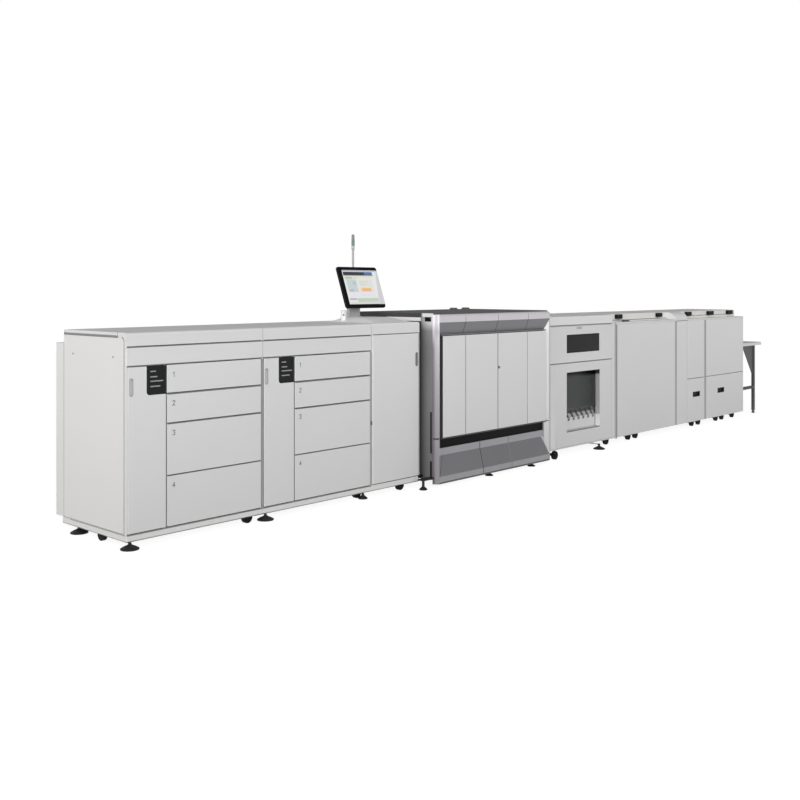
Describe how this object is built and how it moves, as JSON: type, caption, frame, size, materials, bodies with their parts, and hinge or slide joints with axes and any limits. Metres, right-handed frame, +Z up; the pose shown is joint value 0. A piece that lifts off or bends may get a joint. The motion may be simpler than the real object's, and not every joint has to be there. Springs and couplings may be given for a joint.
{
  "type": "digital production printer",
  "caption": "Cut-sheet digital production print line: paper input cabinets with trays, print engine, viewing and finishing cabinets, screen and end table.",
  "frame": {"origin": "bottom centre of the whole line's box, on the floor", "axes": "+X along the line from the paper input to the end table, -Y towards the operator, +Z up"},
  "size_m": [7.738, 0.859, 1.706],
  "materials": {
    "cabinet": "satin powder coat",
    "covers": "fine-grained moulding",
    "fronts": "satin powder coat",
    "display": "gloss",
    "frame_paint": "satin metallic",
    "dark_trim": "satin",
    "housing": "satin",
    "stand": "satin",
    "bezel": "satin",
    "lamp": "satin",
    "dark_window": "gloss",
    "pane": "clear",
    "comb": "satin",
    "vents": "matte",
    "table": "satin",
    "feet": "matte",
    "casters": "matte"
  },
  "bodies": {
    "root": {"paper_1_cabinet": "cabinet", "paper_1_covers": "covers", "paper_2_cabinet": "cabinet", "paper_2_covers": "covers", "interface_cabinet": "cabinet", "interface_cover": "covers", "monitor_stand": "stand", "signal_lamp": "lamp", "engine_housing": "housing", "engine_surround": "frame_paint", "engine_bevels": "dark_trim", "engine_end_panels": "fronts", "window_cabinet": "cabinet", "window_front": "covers", "upper_window": "dark_window", "comb_tray": "comb", "stacker_cabinet": "cabinet", "finisher_1_cabinet": "cabinet", "finisher_2_cabinet": "cabinet", "finisher_panels": "fronts", "vent_blocks": "vents", "end_table": "table", "leveling_feet": "feet", "casters": "casters"},
    "paper_1_door": {"paper_1_door": "fronts", "paper_1_display": "display"},
    "paper_1_tray_1": {"paper_1_tray_1": "fronts"},
    "paper_1_tray_2": {"paper_1_tray_2": "fronts"},
    "paper_1_tray_3": {"paper_1_tray_3": "fronts"},
    "paper_1_tray_4": {"paper_1_tray_4": "fronts"},
    "paper_2_door": {"paper_2_door": "fronts", "paper_2_display": "display"},
    "paper_2_tray_1": {"paper_2_tray_1": "fronts"},
    "paper_2_tray_2": {"paper_2_tray_2": "fronts"},
    "paper_2_tray_3": {"paper_2_tray_3": "fronts"},
    "paper_2_tray_4": {"paper_2_tray_4": "fronts"},
    "interface_door": {"interface_door": "fronts"},
    "screen": {"monitor": "bezel"},
    "engine_left_door": {"engine_left_door": "fronts"},
    "engine_right_door": {"engine_right_door": "fronts"},
    "window_door": {"window_door": "fronts", "window_pane": "pane"},
    "stacker_door": {"stacker_door": "fronts"},
    "finisher_1_bin": {"finisher_1_bin": "fronts"},
    "finisher_2_bin": {"finisher_2_bin": "fronts"}
  },
  "joints": [
    {"name": "paper_1_door_hinge", "type": "hinge", "parent": "root", "child": "paper_1_door", "pos_m": [-3.609, -0.2885, 0.5], "axis": [0, 0, 1], "range_deg": [0, 90]},
    {"name": "paper_1_tray_1_slide", "type": "slide", "parent": "root", "child": "paper_1_tray_1", "axis": [0, -1, 0], "range_m": [0, 0.45]},
    {"name": "paper_1_tray_2_slide", "type": "slide", "parent": "root", "child": "paper_1_tray_2", "axis": [0, -1, 0], "range_m": [0, 0.45]},
    {"name": "paper_1_tray_3_slide", "type": "slide", "parent": "root", "child": "paper_1_tray_3", "axis": [0, -1, 0], "range_m": [0, 0.45]},
    {"name": "paper_1_tray_4_slide", "type": "slide", "parent": "root", "child": "paper_1_tray_4", "axis": [0, -1, 0], "range_m": [0, 0.45]},
    {"name": "paper_2_door_hinge", "type": "hinge", "parent": "root", "child": "paper_2_door", "pos_m": [-2.7255, -0.2885, 0.5], "axis": [0, 0, 1], "range_deg": [0, 90]},
    {"name": "paper_2_tray_1_slide", "type": "slide", "parent": "root", "child": "paper_2_tray_1", "axis": [0, -1, 0], "range_m": [0, 0.45]},
    {"name": "paper_2_tray_2_slide", "type": "slide", "parent": "root", "child": "paper_2_tray_2", "axis": [0, -1, 0], "range_m": [0, 0.45]},
    {"name": "paper_2_tray_3_slide", "type": "slide", "parent": "root", "child": "paper_2_tray_3", "axis": [0, -1, 0], "range_m": [0, 0.45]},
    {"name": "paper_2_tray_4_slide", "type": "slide", "parent": "root", "child": "paper_2_tray_4", "axis": [0, -1, 0], "range_m": [0, 0.45]},
    {"name": "interface_door_hinge", "type": "hinge", "parent": "root", "child": "interface_door", "pos_m": [-2.056, -0.2885, 0.5], "axis": [0, 0, -1], "range_deg": [0, 90]},
    {"name": "screen_tilt", "type": "hinge", "parent": "root", "child": "screen", "pos_m": [-1.783, 0.1115, 1.26], "axis": [1, 0, 0], "range_deg": [-20, 15]},
    {"name": "engine_left_door_hinge", "type": "hinge", "parent": "root", "child": "engine_left_door", "pos_m": [-1.28, -0.4185, 0.6], "axis": [0, 0, -1], "range_deg": [0, 90]},
    {"name": "engine_right_door_hinge", "type": "hinge", "parent": "root", "child": "engine_right_door", "pos_m": [-0.572, -0.4185, 0.6], "axis": [0, 0, 1], "range_deg": [0, 90]},
    {"name": "window_door_hinge", "type": "hinge", "parent": "root", "child": "window_door", "pos_m": [-0.0075, -0.2885, 0.4], "axis": [0, 0, -1], "range_deg": [0, 90]},
    {"name": "stacker_door_hinge", "type": "hinge", "parent": "root", "child": "stacker_door", "pos_m": [0.916, -0.2885, 0.5], "axis": [0, 0, -1], "range_deg": [0, 90]},
    {"name": "finisher_1_bin_slide", "type": "slide", "parent": "root", "child": "finisher_1_bin", "axis": [0, -1, 0], "range_m": [0, 0.33]},
    {"name": "finisher_2_bin_slide", "type": "slide", "parent": "root", "child": "finisher_2_bin", "axis": [0, -1, 0], "range_m": [0, 0.33]}
  ]
}
